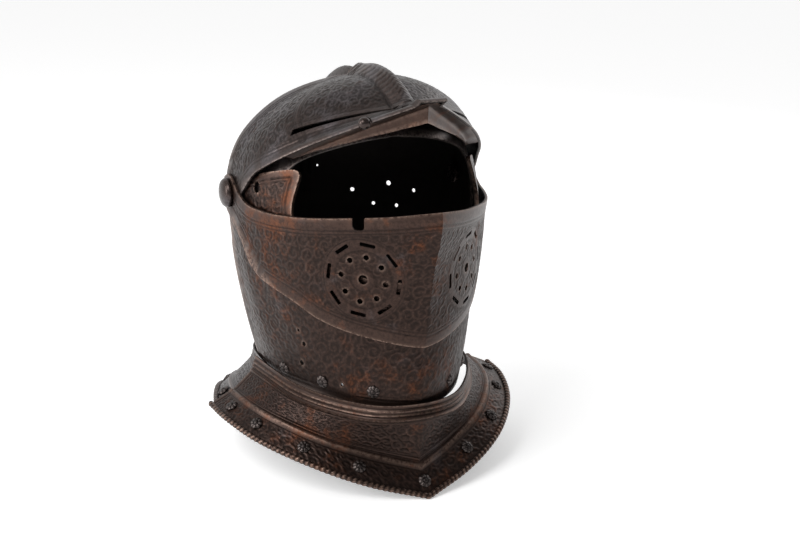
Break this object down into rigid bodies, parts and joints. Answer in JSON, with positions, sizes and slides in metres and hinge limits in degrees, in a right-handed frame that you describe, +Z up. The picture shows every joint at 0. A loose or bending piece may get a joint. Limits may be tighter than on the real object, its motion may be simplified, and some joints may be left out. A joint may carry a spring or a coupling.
{
  "type": "close helmet",
  "caption": "Close helmet of etched steel with a combed skull, raised visor, pierced upper bevor, lower bevor and flared gorget plates.",
  "frame": {"origin": "on the ground under the middle of the helmet's box, where it rests on its gorget", "axes": "+Z up, -Y the way the face looks, +X the wearer's left"},
  "size_m": [0.2578, 0.2871, 0.3164],
  "materials": {
    "patinated_steel": "etched dark steel with a grey-violet patina, dull sheen",
    "rust_brown_steel": "etched dark steel with brown patina and rust-red patches",
    "worn_dark_steel": "dark steel worn smooth and shiny",
    "rivet_steel": "dark rosette-headed rivet, satin"
  },
  "bodies": {
    "skull": {"skull": "patinated_steel", "rear_gorget": "patinated_steel", "pivot_right": "worn_dark_steel", "pivot_left": "worn_dark_steel", "rear_rivet_1": "rivet_steel", "rear_rivet_2": "rivet_steel", "rear_rivet_3": "rivet_steel", "rear_rivet_4": "rivet_steel", "rear_rivet_5": "rivet_steel", "rear_rivet_6": "rivet_steel", "rear_rivet_7": "rivet_steel"},
    "lower_bevor": {"lower_bevor": "rust_brown_steel", "front_gorget": "rust_brown_steel", "front_rivet_1": "rivet_steel", "front_rivet_2": "rivet_steel", "front_rivet_3": "rivet_steel", "front_rivet_4": "rivet_steel", "front_rivet_5": "rivet_steel", "front_rivet_6": "rivet_steel", "front_rivet_7": "rivet_steel", "front_rivet_8": "rivet_steel", "front_rivet_9": "rivet_steel", "neck_rivet_1": "rivet_steel", "neck_rivet_2": "rivet_steel", "neck_rivet_3": "rivet_steel", "neck_rivet_4": "rivet_steel", "neck_rivet_5": "rivet_steel", "neck_rivet_6": "rivet_steel"},
    "upper_bevor": {"upper_bevor": "rust_brown_steel"},
    "visor": {"visor": "patinated_steel", "lifting_peg": "worn_dark_steel"}
  },
  "joints": [
    {"name": "lower_bevor_hinge", "type": "hinge", "parent": "skull", "child": "lower_bevor", "pos_m": [0, 0.0222, 0.214], "axis": [-1, 0, 0], "range_deg": [0, 30]},
    {"name": "upper_bevor_hinge", "type": "hinge", "parent": "lower_bevor", "child": "upper_bevor", "pos_m": [0, 0.0222, 0.214], "axis": [-1, 0, 0], "range_deg": [0, 25]},
    {"name": "visor_hinge", "type": "hinge", "parent": "upper_bevor", "child": "visor", "pos_m": [0, 0.0222, 0.214], "axis": [-1, 0, 0], "range_deg": [-26, 0]}
  ]
}
